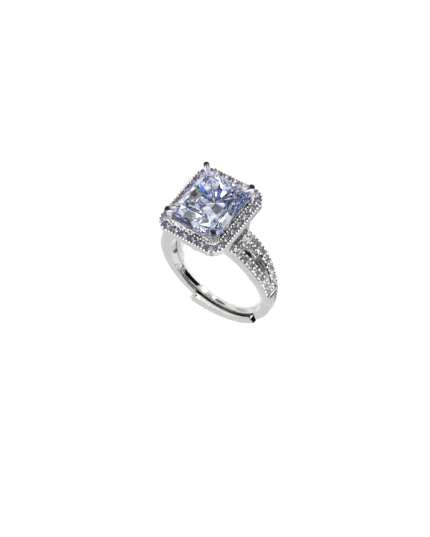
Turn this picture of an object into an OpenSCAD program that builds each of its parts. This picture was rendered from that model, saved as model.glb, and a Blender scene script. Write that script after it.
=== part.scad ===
/* [Finger hole and shank] */
// Radius of the finger hole
finger_r = 8.25; // [8.2:0.01:8.3]
// Radial thickness of the shank at its sides
shank_t = 1.5; // [1.45:0.01:1.55]
// How far the shank's outer circle sits above the finger hole's centre
shank_rise = 0.3; // [0.25:0.01:0.35]
// Distance of the near face from the halo's middle plane, on the shoulders
near_y = 1.2; // [1.18:0.01:1.25]
// The same distance low on the left half
near_left_y = 0.95; // [0.9:0.01:1.0]
// The same distance low on the right half
near_right_y = 0.58; // [0.56:0.01:0.65]
// Distance of the far face from the same plane, at the bottom of the shank
far_low_y = 0.75; // [0.7:0.01:0.8]
// The same distance half way up the shank
far_mid_y = 1.35; // [1.3:0.01:1.4]
// The same distance where the shoulder meets the head
far_top_y = 3.6; // [3.55:0.01:3.65]

/* [Adjustable ends under the finger] */
// Inner radius of the outer end, which works as a sleeve
sleeve_in_r = 8.85; // [8.83:0.01:8.88]
// Radius of the sleeve's outer curve, which is flatter than the shank's
sleeve_curve_r = 11.34; // [11.3:0.01:11.4]
// Distance of the sleeve's near face from the middle plane where it begins
sleeve_wide_y = 1.45; // [1.35:0.05:1.5]
// The same distance where it ends
sleeve_narrow_y = 0.85; // [0.8:0.05:0.95]
// Angle from the bottom of the sleeve's swollen beginning, on the left
sleeve_start = -25; // [-26:1:-24]
// Angle from the bottom where the sleeve ends, on the right
sleeve_end = 41; // [38:1:42]
// Radial thickness of the thin inner tongue
tongue_t = 0.47; // [0.42:0.01:0.48]
// Distance of the tongue's near edge from the middle plane
tongue_near_y = 0.46; // [0.42:0.01:0.48]
// Distance of the tongue's far edge from the middle plane
tongue_far_y = 0.45; // [0.42:0.01:0.5]
// Angle from the bottom of the tongue's tip, on the left
tongue_tip = -59; // [-60:1:-56]
// Angle from the bottom where the full right half ends and the tongue goes on
right_end = 51; // [50:1:52]
// Angle from the bottom where the left half's inner channel begins
channel_start = -63; // [-64:1:-62]

/* [Halo frame] */
// Width of the halo frame across the shoulders
halo_w = 11.15; // [11.1:0.01:11.2]
// Length of the halo frame along the finger
halo_l = 12.9; // [12.85:0.01:12.95]
// Outer corner radius of the halo frame
halo_corner = 2.32; // [2.3:0.01:2.35]
// Height of the halo's top face over the finger hole's centre
halo_top_z = 15.35; // [15.3:0.01:15.4]
// Thickness of the halo frame, its plain side band
halo_t = 1.0; // [0.95:0.01:1.05]
// Stones along each long side, corners included
long_count = 7; // [7]
// Stones along each short side, corners included
short_count = 6; // [6]
// Diameter of a halo stone
halo_stone_d = 1.24; // [1.2:0.01:1.24]

/* [Main stone and claws] */
// Width of the main stone
stone_w = 8.3; // [8.25:0.01:8.32]
// Length of the main stone
stone_l = 9.85; // [9.8:0.01:9.9]
// How much each corner is cropped, along each side
stone_crop = 0.85; // [0.8:0.01:0.9]
// Height of the girdle's top edge over the finger hole's centre
girdle_z = 16.55; // [16.5:0.01:16.6]
// Thickness of the girdle
girdle_t = 0.12; // [0.1:0.01:0.15]
// Height of the crown, from the girdle to the table
crown_h = 1.45; // [1.4:0.01:1.5]
// Depth of the pavilion, from the girdle to the keel
pavilion_h = 4.3; // [4.2:0.05:4.4]
// Width of the table as a share of the stone's width
table_share = 0.64; // [0.6:0.01:0.66]
// Radius of a claw where it passes the halo stones
claw_r = 0.33; // [0.3:0.01:0.34]
// Radius of a claw's rounded head
claw_head_r = 0.5; // [0.48:0.01:0.52]
// Height of a claw head's centre over the finger hole's centre
claw_head_z = 17.85; // [17.8:0.01:17.9]

/* [Shoulder stones] */
// Diameter of a stone in the near and far strands
strand_stone_d = 1.1; // [1.05:0.01:1.1]
// Diameter of a stone in the short middle row
middle_stone_d = 0.88; // [0.84:0.01:0.9]
// Stones in each near strand and each far strand
strand_count = 7; // [7]
// Stones in each middle row
middle_count = 3; // [3]
// Angle from the top of each strand's first stone
strand_first = 24.5; // [24:0.5:25]
// Angle from the top of each strand's last stone
strand_last = 73.5; // [73:0.5:74]

/* [Hidden] */
$fn = 96;

silver = [0.86, 0.85, 0.83];
periwinkle = [0.73, 0.78, 0.93];
lilac_white = [0.85, 0.86, 0.93];

// Clearances between a stone and the metal that holds it, and the depth of a small stone's seat.
seat_gap = 0.03;
rest_gap = 0.05;
seat_depth = 0.55;
seat_clear = 0.25;

// Shank: its outer circle, and how far past the part a cutting shape reaches.
shank_r = finger_r + shank_t;
reach = 14;
joined = 2;
near_turn_high_z = 4.5;
near_turn_low_z = -1;
far_turn_low_z = -6;
far_turn_high_z = 9.5;
right_end_slant = 5;

// Adjustable ends: the sleeve's outer curve is a circle whose centre is set off to the left and up.
sleeve_shift_x = -0.73;
sleeve_shift_z = 1.14;
sleeve_low_z = sleeve_shift_z - sleeve_curve_r;
collar_r = 0.87;
lip_end = sleeve_start - 4;
channel_near_y = tongue_near_y + 0.15;
tongue_out_r = finger_r + tongue_t;

// Halo: half sizes, and the line through the middle of its stones.
halo_x = halo_w / 2;
halo_y = halo_l / 2;
halo_low_z = halo_top_z - halo_t;
rim = 0.12;
line_in = rim + halo_stone_d / 2;
line_x = halo_x - line_in;
line_y = halo_y - line_in;
line_r = halo_corner - line_in;
corner_half_gap = 0.72;

// Claws: a foot in the halo, a waist beside the corner stones, a head, and a finger over the stone.
claw_foot = [stone_w / 2 - 0.47, stone_l / 2 - 0.365, halo_low_z + 0.3];
claw_head = [stone_w / 2 - 0.25, stone_l / 2 - 0.225, claw_head_z];
claw_waist = claw_foot + 0.32 * (claw_head - claw_foot);
claw_finger = claw_head - [0.58, 0.58, 0.28];
claw_finger_r = 0.4;

// Gallery: the two leaning end walls, the bridge over the finger, and the stems under the claws.
wall_low_in_x = 2.9;
wall_low_out_x = 3.65;
wall_top_in_x = 4.1;
wall_top_out_x = 4.9;
wall_low_z = 8.9;
bridge_window_x = 2.3;
stem_r = 0.36;
stem_foot_x = 3.0;
stem_foot_z = 9.35;
stem_near_foot_y = -0.75;
stem_far_foot_y = 2.9;
lug_x = 1.25;
lug_r = 0.55;

// Distance of the sleeve's near face from the middle plane, at a place across the shank.
function sleeve_near_y(x) =
    sleeve_wide_y + (sleeve_narrow_y - sleeve_wide_y) * (x + 5.2) / 11.8;

// The part lies on the far edge of its halo and on the far edge of its sleeve.
rest_tilt = atan((halo_y - far_low_y) / (halo_low_z - sleeve_low_z));
rest_drop = far_low_y * cos(rest_tilt) - sleeve_low_z * sin(rest_tilt);
lying_low = -sleeve_near_y(sleeve_shift_x) * sin(rest_tilt) + sleeve_low_z * cos(rest_tilt);
lying_high = claw_head[1] * sin(rest_tilt) + claw_head[2] * cos(rest_tilt) + claw_head_r;
lying_shift = -(lying_low + lying_high) / 2;

// Extrudes an outline drawn in X and Z from one Y to another.
module along_y(from, to) {
    translate([0, to, 0])
        rotate([90, 0, 0])
            linear_extrude(to - from)
                children();
}

// Extrudes an outline drawn in Y and Z from one X to another.
module along_x(from, to) {
    translate([from, 0, 0])
        rotate([90, 0, 90])
            linear_extrude(to - from)
                children();
}

// A point on a circle, with the angle taken from the bottom toward the right.
function low_point(r, angle) = [r * sin(angle), -r * cos(angle)];

// A ring sector between two angles taken from the bottom toward the right.
module low_sector(in_r, out_r, from, to) {
    steps = max(2, ceil((to - from) / 40));
    far = 2 * out_r;
    intersection() {
        difference() {
            circle(out_r);
            circle(in_r);
        }
        polygon(concat([[0, 0]], [for (i = [0:steps]) low_point(far, from + (to - from) * i / steps)]));
    }
}

// Distance of the shank's outer surface from the finger hole's centre.
function surface_r(angle) =
    shank_rise * cos(angle) + sqrt(shank_r * shank_r - pow(shank_rise * sin(angle), 2));

// Distance of the far face from the middle plane, at a height over the centre.
function far_edge_y(z) =
    z < 0
    ? far_mid_y - (far_mid_y - far_low_y) * z / far_turn_low_z
    : far_mid_y + (far_top_y - far_mid_y) * z / far_turn_high_z;

// A rectangle with cropped corners, as points in order.
function cropped(x, y, crop) = [
    [x, -y + crop], [x, y - crop], [x - crop, y], [-x + crop, y],
    [-x, y - crop], [-x, -y + crop], [-x + crop, -y], [x - crop, -y]
];

function lifted(outline, z) = [for (p = outline) [p[0], p[1], z]];

// Side faces between rings of points that run from the top down.
function band_faces(count, rings) = [
    for (i = [0:rings - 2])
        for (j = [0:count - 1])
            let (k = (j + 1) % count)
                [i * count + j, i * count + k, (i + 1) * count + k, (i + 1) * count + j]
];

function top_face(count) = [for (j = [count - 1:-1:0]) j];

// A round stone with an octagonal table, standing on its point along Z, girdle at zero.
module round_stone(d) {
    sides = 8;
    ring = function (r, z) [for (i = [0:sides - 1]) [r * cos(45 * i + 22.5), r * sin(45 * i + 22.5), z]];
    rings = 3;
    points = concat(
        ring(0.29 * d, 0.17 * d),
        ring(d / 2, 0),
        ring(d / 2, -0.03 * d),
        [[0, 0, -0.4 * d]]
    );
    last = (rings - 1) * sides;
    culet = [for (j = [0:sides - 1]) [last + j, last + (j + 1) % sides, rings * sides]];
    polyhedron(points, concat([top_face(sides)], band_faces(sides, rings), culet));
}

// The main stone: table, crown, girdle, two pavilion tiers and a keel, grown on every side.
module radiant_body(grow = 0) {
    x = stone_w / 2 + grow;
    y = stone_l / 2 + grow;
    low_z = girdle_z - girdle_t;
    mid_share = 0.62;
    mid_z = low_z - pavilion_h * 0.52 - grow;
    keel_y = 1.1;
    outline = function (share, z) lifted(cropped(x * share, y * share, stone_crop * share), z);
    points = concat(
        outline(table_share, girdle_z + crown_h + grow),
        outline(0.86, girdle_z + crown_h * 0.55 + grow),
        outline(1, girdle_z + grow),
        outline(1, low_z - grow),
        outline(mid_share, mid_z),
        [[0, -keel_y, low_z - pavilion_h - grow], [0, keel_y, low_z - pavilion_h - grow]]
    );
    sides = 8;
    rings = 5;
    m = (rings - 1) * sides;
    near_keel = rings * sides;
    far_keel = near_keel + 1;
    keel = [
        [m, m + 1, far_keel, near_keel],
        [m + 1, m + 2, far_keel],
        [m + 2, m + 3, far_keel],
        [m + 3, m + 4, far_keel],
        [m + 4, m + 5, near_keel, far_keel],
        [m + 5, m + 6, near_keel],
        [m + 6, m + 7, near_keel],
        [m + 7, m, near_keel]
    ];
    polyhedron(points, concat([top_face(sides)], band_faces(sides, rings), keel));
}

// Where a halo stone sits: its way along a side, measured from the side's middle.
function side_spot(half_len, half_off, a) =
    let (
        run = half_len - line_r,
        turn = max(abs(a) - run, 0) / line_r * 180 / PI
    )
    [sign(a) * (min(abs(a), run) + line_r * sin(turn)), half_off - line_r * (1 - cos(turn))];

function side_reach(half_len) = half_len - line_r + line_r * PI / 4 - corner_half_gap;

function side_spots(half_len, half_off, count) = [
    for (i = [0:count - 1])
        side_spot(half_len, half_off, side_reach(half_len) * (2 * i / (count - 1) - 1))
];

halo_spots = [
    for (s = [-1, 1]) each [for (p = side_spots(line_y, line_x, long_count)) [s * p[1], p[0]]],
    for (s = [-1, 1]) each [for (p = side_spots(line_x, line_y, short_count)) [p[0], s * p[1]]]
];

// Stones of one shoulder: angle from the top, distance from the middle plane, diameter.
function strand_angle(i) = strand_first + (strand_last - strand_first) * i / (strand_count - 1);

function far_strand_y(angle) = far_edge_y(surface_r(angle) * cos(angle)) - 0.68;

ANGLE = 0;
OFF = 1;
SIZE = 2;
shoulder_spots = concat(
    [for (i = [0:strand_count - 1]) [strand_angle(i), -0.52 + 0.03 * i, strand_stone_d]],
    [for (i = [0:strand_count - 1]) [strand_angle(i), far_strand_y(strand_angle(i)), strand_stone_d]],
    [for (i = [0:middle_count - 1]) [strand_first + 7.2 * i, 1.58 - 0.13 * i, middle_stone_d]]
);

// Puts children on one shoulder's surface, side 1 being the right and side -1 the left.
module on_shoulder(side, angle, y) {
    rotate([0, side * angle, 0])
        translate([0, y, surface_r(angle)])
            children();
}

// A straight slot, drawn in Y and Z, that narrows from its upper end to its lower end.
module slot(top, low, top_w, low_w) {
    polygon([
        [top[0] - top_w / 2, top[1]],
        [low[0] - low_w / 2, low[1]],
        [low[0] + low_w / 2, low[1]],
        [top[0] + top_w / 2, top[1]]
    ]);
}

// The openings between the strands of a shoulder, as seen from the side.
module strand_openings() {
    slot([1.9, 7.25], [0.62, 3.35], 0.34, 0.2);
    slot([0.98, 6.9], [0.9, 5.8], 0.2, 0.14);
    slot([0.46, 7.15], [0.36, 5.0], 0.14, 0.12);
    polygon([[0.15, 8.35], [0.36, 7.65], [0.78, 8.1], [0.52, 8.75]]);
}

// A half's side outline: its near face steps in below the shoulder, its far face flares upward.
module side_outline(near_low_y) {
    polygon([
        [-near_low_y, -reach],
        [far_low_y, -reach],
        [far_low_y, far_turn_low_z],
        [far_mid_y, 0],
        [far_top_y, far_turn_high_z],
        [far_top_y, reach],
        [-near_y, reach],
        [-near_y, near_turn_high_z],
        [-near_low_y, near_turn_low_z]
    ]);
}

// The shank's ring, open between the sleeve's beginning and the right half's slanted end.
module open_ring() {
    end_in = low_point(finger_r, right_end);
    end_out = low_point(shank_r - shank_rise, right_end - right_end_slant);
    lean = end_out - end_in;
    difference() {
        translate([0, shank_rise])
            circle(shank_r);
        circle(finger_r);
        polygon([
            end_in - 2 * lean,
            [0, 0],
            low_point(2 * reach, sleeve_start + joined),
            low_point(2 * reach, 0),
            end_out + 20 * lean
        ]);
    }
}

// Both halves of the shank with their shoulders, the left one's channel, and the bridge on top.
module shank_halves() {
    difference() {
        intersection() {
            along_y(-near_y, far_top_y)
                open_ring();
            union() {
                along_x(-reach, 0)
                    side_outline(near_left_y);
                along_x(0, reach)
                    side_outline(near_right_y);
            }
        }
        along_y(-channel_near_y, reach)
            low_sector(finger_r - 1, sleeve_in_r, channel_start, 0);
        along_y(-reach, reach)
            low_sector(finger_r - 1, sleeve_in_r, lip_end, 0);
        along_x(wall_low_out_x, reach)
            strand_openings();
        along_x(-reach, -wall_low_out_x)
            strand_openings();
        translate([-bridge_window_x, 0.1, 0])
            cube([2 * bridge_window_x, 2.1, reach]);
    }
}

// The outer end under the finger: swollen where it begins, and narrower toward its end.
module sleeve() {
    intersection() {
        along_y(-reach, far_low_y)
            union() {
                intersection() {
                    low_sector(sleeve_in_r, reach, sleeve_start, sleeve_end);
                    translate([sleeve_shift_x, sleeve_shift_z])
                        circle(sleeve_curve_r);
                }
                translate(low_point(sleeve_in_r + collar_r, sleeve_start))
                    circle(collar_r);
            }
        translate([0, 0, -reach])
            linear_extrude(2 * reach)
                polygon([
                    [-reach, -sleeve_near_y(-reach)],
                    [reach, -sleeve_near_y(reach)],
                    [reach, reach],
                    [-reach, reach]
                ]);
    }
}

// The inner end under the finger, thin enough to lie inside the sleeve.
module tongue() {
    along_y(-tongue_near_y, tongue_far_y)
        low_sector(finger_r, tongue_out_r, tongue_tip, right_end + joined);
}

// A rounded rectangle, drawn about its middle.
module rounded_rectangle(x, y, r) {
    square([2 * x, 2 * (y - r)], center = true);
    square([2 * (x - r), 2 * y], center = true);
    for (sx = [-1, 1], sy = [-1, 1])
        translate([sx * (x - r), sy * (y - r)])
            circle(r);
}

// The halo frame with its drilled seats, and the wall inside it that carries the main stone.
module halo_frame() {
    wall_in = line_in + halo_stone_d / 2 + seat_gap + 0.02;
    wall_x = halo_x - wall_in;
    wall_y = halo_y - wall_in;
    wall_top_z = girdle_z - girdle_t - 0.2;
    opening = 1.0;
    difference() {
        union() {
            translate([0, 0, halo_low_z])
                linear_extrude(halo_t)
                    rounded_rectangle(halo_x, halo_y, halo_corner);
            translate([0, 0, halo_low_z + 0.1])
                linear_extrude(wall_top_z - halo_low_z - 0.1)
                    polygon(cropped(wall_x, wall_y, stone_crop));
        }
        translate([0, 0, halo_low_z - 1])
            linear_extrude(4)
                polygon(cropped(wall_x - opening, wall_y - opening, stone_crop * 0.7));
        for (p = halo_spots)
            translate([p[0], p[1], halo_top_z - seat_depth])
                cylinder(h = seat_depth + seat_clear, r = halo_stone_d / 2 + seat_gap);
    }
}

// A round wire between two points, which may widen on its way.
module wire(from, to, from_r, to_r) {
    way = to - from;
    length = norm(way);
    translate(from)
        rotate([0, acos(way[2] / length), atan2(way[1], way[0])])
            cylinder(h = length, r1 = from_r, r2 = to_r);
}

// One claw: a post at a corner of the main stone, its round head, and a finger bent over the edge.
module claw() {
    wire(claw_foot, claw_head, claw_r, claw_r);
    wire(claw_waist, claw_head, claw_r * 0.9, claw_head_r * 0.94);
    translate(claw_head)
        sphere(claw_head_r);
    translate(claw_finger)
        sphere(claw_finger_r);
    wire(claw_head, claw_finger, claw_finger_r * 0.95, claw_finger_r * 0.95);
}

// What carries the head: leaning end walls, and stems from the claws down to the bridge.
module gallery() {
    for (side = [0, 1])
        mirror([side, 0, 0]) {
            along_y(-near_y, far_top_y - 0.15)
                polygon([
                    [wall_low_in_x, wall_low_z],
                    [wall_low_out_x, wall_low_z],
                    [wall_top_out_x, halo_low_z + 0.2],
                    [wall_top_in_x, halo_low_z + 0.2]
                ]);
            for (far = [0, 1])
                wire(
                    [stem_foot_x, far == 1 ? stem_far_foot_y : stem_near_foot_y, stem_foot_z],
                    [claw_foot[0], far == 1 ? claw_foot[1] : -claw_foot[1], claw_foot[2] + 0.2],
                    stem_r,
                    stem_r
                );
        }
    for (turn = [0, 180])
        rotate([0, 0, turn])
            along_y(0.3 - halo_y, 0.85 - halo_y)
                translate([lug_x, halo_low_z - 0.25])
                    circle(lug_r);
}

// A small lozenge frame between the strands, just under the head.
module lozenge(side) {
    on_shoulder(side, 26.5, 0.55)
        rotate([0, 0, 45])
            difference() {
                cube([0.86, 0.86, 0.5], center = true);
                cube([0.46, 0.46, 1], center = true);
            }
}

// All the soldered metal, standing upright about the finger hole's centre.
module upright_mount() {
    difference() {
        union() {
            shank_halves();
            sleeve();
            tongue();
            halo_frame();
            gallery();
            for (sx = [0, 1], sy = [0, 1])
                mirror([sx, 0, 0])
                    mirror([0, sy, 0])
                        claw();
            lozenge(1);
            lozenge(-1);
        }
        radiant_body(rest_gap);
        for (side = [-1, 1], s = shoulder_spots)
            on_shoulder(side, s[ANGLE], s[OFF])
                translate([0, 0, -seat_depth])
                    cylinder(h = 2, r = s[SIZE] / 2 + seat_gap);
    }
}

// Lays the upright ring down on its far side.
module lying() {
    translate([0, lying_shift, rest_drop])
        rotate([rest_tilt - 90, 0, 0])
            children();
}

module ring_mount() {
    color(silver)
        lying()
            upright_mount();
}

module centre_stone() {
    color(periwinkle)
        lying()
            radiant_body();
}

module halo_stones() {
    color(lilac_white)
        lying()
            for (p = halo_spots)
                translate([p[0], p[1], halo_top_z - 0.03])
                    round_stone(halo_stone_d);
}

module shoulder_stones(side) {
    color(lilac_white)
        lying()
            for (s = shoulder_spots)
                on_shoulder(side, s[ANGLE], s[OFF])
                    translate([0, 0, -0.03])
                        round_stone(s[SIZE]);
}

ring_mount();
centre_stone();
halo_stones();
shoulder_stones(-1);  // shoulder_stones_left
shoulder_stones(1);  // shoulder_stones_right
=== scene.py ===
# %% [markdown]
# # A halo ring with a large crystal, dressed for its picture
#
# The ring's metal and stones were built as exact solids, and they arrive here as a fixed frame.
# This lesson adds what the eye looks for in jewellery: real facets, the grains that hold small
# stones, polished metal, and a bright studio for all of it to mirror.
#
# Every shape below is worked out with numpy as whole arrays of points, in millimetres, on the ring
# standing upright: X runs across the shoulders, Y along the finger and Z up to the stone. One
# function then lays everything down on the table, as the solids lie.

# %% Load the frame
import math

import bmesh
import bpy
import numpy as np
from mathutils import Matrix


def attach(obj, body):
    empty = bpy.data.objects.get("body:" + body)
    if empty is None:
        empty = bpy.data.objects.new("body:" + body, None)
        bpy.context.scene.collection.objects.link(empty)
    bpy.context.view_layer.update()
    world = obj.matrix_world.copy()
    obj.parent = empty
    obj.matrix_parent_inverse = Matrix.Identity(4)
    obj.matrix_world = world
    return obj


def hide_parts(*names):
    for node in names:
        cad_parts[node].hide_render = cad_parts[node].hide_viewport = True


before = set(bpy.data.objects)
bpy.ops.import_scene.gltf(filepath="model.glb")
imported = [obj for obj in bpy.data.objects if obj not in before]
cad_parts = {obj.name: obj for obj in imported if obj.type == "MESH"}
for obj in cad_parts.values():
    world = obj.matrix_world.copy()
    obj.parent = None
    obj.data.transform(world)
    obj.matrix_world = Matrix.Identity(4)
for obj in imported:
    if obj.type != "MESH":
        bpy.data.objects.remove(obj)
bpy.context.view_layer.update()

# %% [markdown]
# ## Laying the ring down
#
# A ring can't stand on its own round shank, so it lies on its side. It touches the table with the
# far edge of its halo and the far edge of the sleeve under the finger. A straight line through
# those two edges gives the tilt, and the same turn and shift place every new piece.

# %% Lay the ring down
FINGER_R, SHANK_R, SHANK_RISE = 8.25, 9.75, 0.3
HALO_X, HALO_Y, HALO_CORNER, HALO_TOP, HALO_T = 5.575, 6.45, 2.32, 15.35, 1.0
SLEEVE_IN_R, SLEEVE_OUT_R, SLEEVE_RISE, FAR_LOW_Y = 8.85, 11.34, 1.14, 0.75
LYING_SHIFT = -4.36911

sleeve_low_z = SLEEVE_RISE - SLEEVE_OUT_R
rest_tilt = math.atan((HALO_Y - FAR_LOW_Y) / (HALO_TOP - HALO_T - sleeve_low_z))
rest_drop = FAR_LOW_Y * math.cos(rest_tilt) - sleeve_low_z * math.sin(rest_tilt)
lean_c, lean_s = math.cos(rest_tilt - math.pi / 2), math.sin(rest_tilt - math.pi / 2)
LEAN = np.array([[1, 0, 0], [0, lean_c, -lean_s], [0, lean_s, lean_c]])
REST = np.array([0, LYING_SHIFT, rest_drop])


def laid(points):
    """Upright millimetres to metres on the table: (LEAN p + REST) / 1000.
    LEAN turns about X by the tilt less 90 degrees."""
    return (np.asarray(points, float) @ LEAN.T + REST) * 0.001


def upright(points):
    """The way back from laid(): metres on the table to upright millimetres."""
    return (np.asarray(points, float) * 1000 - REST) @ LEAN


print("tilt", round(math.degrees(rest_tilt), 3), "finger hole's centre at", laid([0, 0, 0]).round(5))

# %% [markdown]
# ## The camera
#
# The viewing angle comes first, because it decides which sides need the most care. A long lens
# from a quarter of a metre keeps the head and the shank in proportion, as a product photographer
# would choose it. Azimuth, elevation and roll say where the camera stands and how it is turned.
# Two helpers put it in the scene. The lamps use both later, and every piece uses the first.

# %% Putting things in the scene
def in_scene(name, data):
    """A new object that holds data, in the scene."""
    thing = bpy.data.objects.new(name, data)
    bpy.context.scene.collection.objects.link(thing)
    return thing


def stand_at(thing, side, top, back, place):
    """Puts an object at place, with its own X, Y and Z along side, top and back."""
    thing.matrix_world = Matrix([[side[i], top[i], back[i], place[i]] for i in range(3)] + [[0, 0, 0, 1]])


# %% Camera
AIM = np.array([1.24539, -0.69636, 6.01714]) * 0.001
AZIMUTH, ELEVATION, ROLL = (math.radians(a) for a in (61.32691, 38.04678, 133.26403))
DISTANCE = 0.2488957
SENSOR, FOCAL_IN_FRAMES = 36, 1700 / 537

ground = math.cos(ELEVATION)
toward = np.array([ground * math.cos(AZIMUTH), ground * math.sin(AZIMUTH), math.sin(ELEVATION)])
level_up = np.array([0, 0, 1.0]) - toward[2] * toward
level_up /= np.linalg.norm(level_up)
level_right = np.cross(-toward, level_up)
up = level_up * math.cos(ROLL) + level_right * math.sin(ROLL)
right = np.cross(up, toward)
stand = AIM + toward * DISTANCE

camera_data = bpy.data.cameras.new("ring_camera")
camera_data.sensor_width = SENSOR
camera_data.lens = FOCAL_IN_FRAMES * SENSOR
camera_data.clip_start = 0.01
camera_data.dof.use_dof = False
camera = in_scene("ring_camera", camera_data)
stand_at(camera, right, up, toward, stand)
bpy.context.scene.camera = camera
print("camera stands at", stand.round(4), "lens", round(camera_data.lens, 2), "mm")

# %% [markdown]
# ## Node helpers
#
# Materials in Blender are small graphs. A few helpers keep them readable: the first ones add a node
# and feed its inputs, and the others are the pieces that come back in almost every material, such
# as a noise, a change of range, a mix of two colours and a bump.

# %% Node helpers
def add(tree, kind, **settings):
    """A new node with its settings."""
    node = tree.nodes.new(kind)
    for name, value in settings.items():
        setattr(node, name, value)
    return node


def feed(target, value):
    """Gives an input its value: another node's output is linked, and a constant is set."""
    if isinstance(value, bpy.types.NodeSocket):
        target.id_data.links.new(value, target)
    else:
        target.default_value = value


def set_sockets(node, **values):
    """Feeds a node's inputs by their names, with _ for a space."""
    for name, value in values.items():
        feed(node.inputs[name.replace("_", " ")], value)


def new_material(name):
    """A material with its graph and its Principled shader."""
    material = bpy.data.materials.new(name)
    material.use_nodes = True
    shader = next(n for n in material.node_tree.nodes if n.type == "BSDF_PRINCIPLED")
    return material, material.node_tree, shader


# %% Patterns
def object_place(tree):
    """Object coordinates, so that a pattern stays on its piece."""
    return add(tree, "ShaderNodeTexCoord").outputs["Object"]


def noise(tree, vector, scale, detail, **more):
    """A noise from 0 to 1 over a vector."""
    cloud = add(tree, "ShaderNodeTexNoise")
    set_sockets(cloud, Vector=vector, Scale=scale, Detail=detail, **more)
    return cloud.outputs["Fac"]


def map_range(tree, value, low, high, start=0.0, end=1.0, kind="LINEAR"):
    """A change from start to end while value goes from low to high."""
    change = add(tree, "ShaderNodeMapRange", interpolation_type=kind)
    set_sockets(change, Value=value, From_Min=low, From_Max=high, To_Min=start, To_Max=end)
    return change.outputs["Result"]


def mix_colour(tree, share, first, second, blend="MIX"):
    """The colour at a share of the way from first to second, or their product with MULTIPLY."""
    tone = add(tree, "ShaderNodeMix", data_type="RGBA", blend_type=blend)
    set_sockets(tone, Factor=share, A=first, B=second)
    return tone.outputs["Result"]


def bump(tree, height, strength, distance, **more):
    """A normal that a height bends."""
    relief = add(tree, "ShaderNodeBump")
    set_sockets(relief, Height=height, Strength=strength, Distance=distance, **more)
    return relief.outputs["Normal"]


def cosine(degrees):
    return math.cos(math.radians(degrees))


# %% [markdown]
# ## The studio
#
# Polished metal and cut stones have almost no colour of their own: they show the room. So the room
# is built with care. It is white all round, with a darker band low on one side, dark cards and
# bright windows at chosen directions, and long ribbons that the finger hole mirrors as streaks.
# Without something dark to mirror, the metal would melt into the white table. Matt surfaces get a
# plain haze instead, which keeps the table even, and the camera itself sees plain white.

# %% Room
world = bpy.data.worlds.new("studio_room")
bpy.context.scene.world = world
world.use_nodes = True
room = world.node_tree
room.nodes.clear()
way = add(room, "ShaderNodeTexCoord").outputs["Generated"]


def soft_step(value, low, high, start=0.0, end=1.0):
    """A smooth change from start to end while value goes from low to high."""
    return map_range(room, value, low, high, start, end, "SMOOTHSTEP")


def toward_dot(direction):
    """How much a ray points along a direction: the dot product of the two."""
    aim = np.array(direction, float)
    dot = add(room, "ShaderNodeVectorMath", operation="DOT_PRODUCT")
    feed(dot.inputs[0], way)
    feed(dot.inputs[1], aim / np.linalg.norm(aim))
    return dot.outputs["Value"]


def maths(operation, *values):
    """One step of arithmetic on sockets and numbers."""
    step = add(room, "ShaderNodeMath", operation=operation)
    for target, value in zip(step.inputs, values):
        feed(target, value)
    return step.outputs[0]


def times(first, *others):
    """The product of a socket and more sockets or numbers."""
    for other in others:
        first = maths("MULTIPLY", first, other)
    return first


# %% Cards and ribbons
def card(direction, inner, outer, inside):
    """1 outside a soft disc around a direction, inside in it. Its edge runs from inner to outer degrees."""
    return soft_step(toward_dot(direction), cosine(outer), cosine(inner), 1.0, inside)


def ribbon(normal, offset, width, middle, reach, inside):
    """1 outside a ribbon and inside in it. A ray's dot product with normal differs from offset by d:
    the ribbon fades while |d| goes through width, and it ends where the angle from its middle goes
    through reach."""
    away = maths("ABSOLUTE", maths("SUBTRACT", toward_dot(normal), offset))
    across = soft_step(away, *width, 1.0, 0.0)
    along = soft_step(toward_dot(middle), cosine(reach[1]), cosine(reach[0]))
    return soft_step(times(across, along), 0.0, 1.0, 1.0, inside)


# %% Where the cards and ribbons are
# Name, direction, the soft edge's two angles, and the strength inside.
CARDS = [
    ("behind the camera", toward, 26, 50, 0.10),
    ("ceiling", (-0.25, 0.35, 0.9), 10, 24, 0.2),
    ("left side", (-0.95, 0.25, 0.3), 8, 22, 0.15),
    ("far side", (0.25, -0.95, 0.62), 5, 18, 0.35),
    ("the wedge's soft beginning", (0.87, 0.25, -0.41), 6, 24, 0.30),
    ("between the glints", (0.104, 0.967, -0.231), 3, 9, 0.35),
    ("after the glints", (-0.305, 0.922, -0.239), 7, 17, 0.13),
    ("far end of the bore", (-0.87, 0.27, -0.40), 5, 22, 0.60),
    ("side of the shank", (0.378, -0.691, -0.616), 2, 24, 0.78),
    ("in front of the near face", (-0.378, -0.891, 0.250), 2, 26, 0.82),
    ("window on the right", (0.75, -0.15, 0.75), 7, 11, 2.6),
    ("window on the left", (-0.55, 0.62, 0.62), 6, 10, 2.4),
    ("window above", (0.1, 0.3, 0.98), 5, 9, 2.6),
]
# Name, then what ribbon() takes.
RIBBONS = [
    ("dark wedge in the bore",
     (-0.731, 0.664, 0.154), -0.243, (0.28, 0.34), (0.80, 0.49, -0.35), (30, 37), 0.01),
    ("thin streak by the near edge",
     (-0.070, -0.307, 0.949), -0.260, (0.018, 0.058), (0.95, 0.25, -0.17), (22, 32), 0.15),
    ("grey streak high in the bore",
     (0.073, -0.194, 0.978), -0.506, (0.012, 0.045), (0.525, -0.508, -0.683), (24, 34), 0.38),
    ("dark patch high in the bore",
     (-0.113, 0.968, 0.225), -0.764, (0.03, 0.06), (0.551, -0.588, -0.592), (5, 8.5), 0.2),
    ("first glint across the bore",
     (-0.914, 0.396, 0.092), 0.015, (0.038, 0.123), (0.32, 0.87, -0.37), (22, 32), 3.0),
    ("second glint across the bore",
     (0.985, -0.169, -0.039), -0.231, (0.022, 0.071), (-0.10, 0.93, -0.35), (22, 32), 2.6),
]
print(len(CARDS), "cards and", len(RIBBONS), "ribbons")

# %% The room's surface
BAND_STRENGTH, ROOM_STRENGTH, HAZE_STRENGTH = 0.22, 0.95, 0.6

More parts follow.
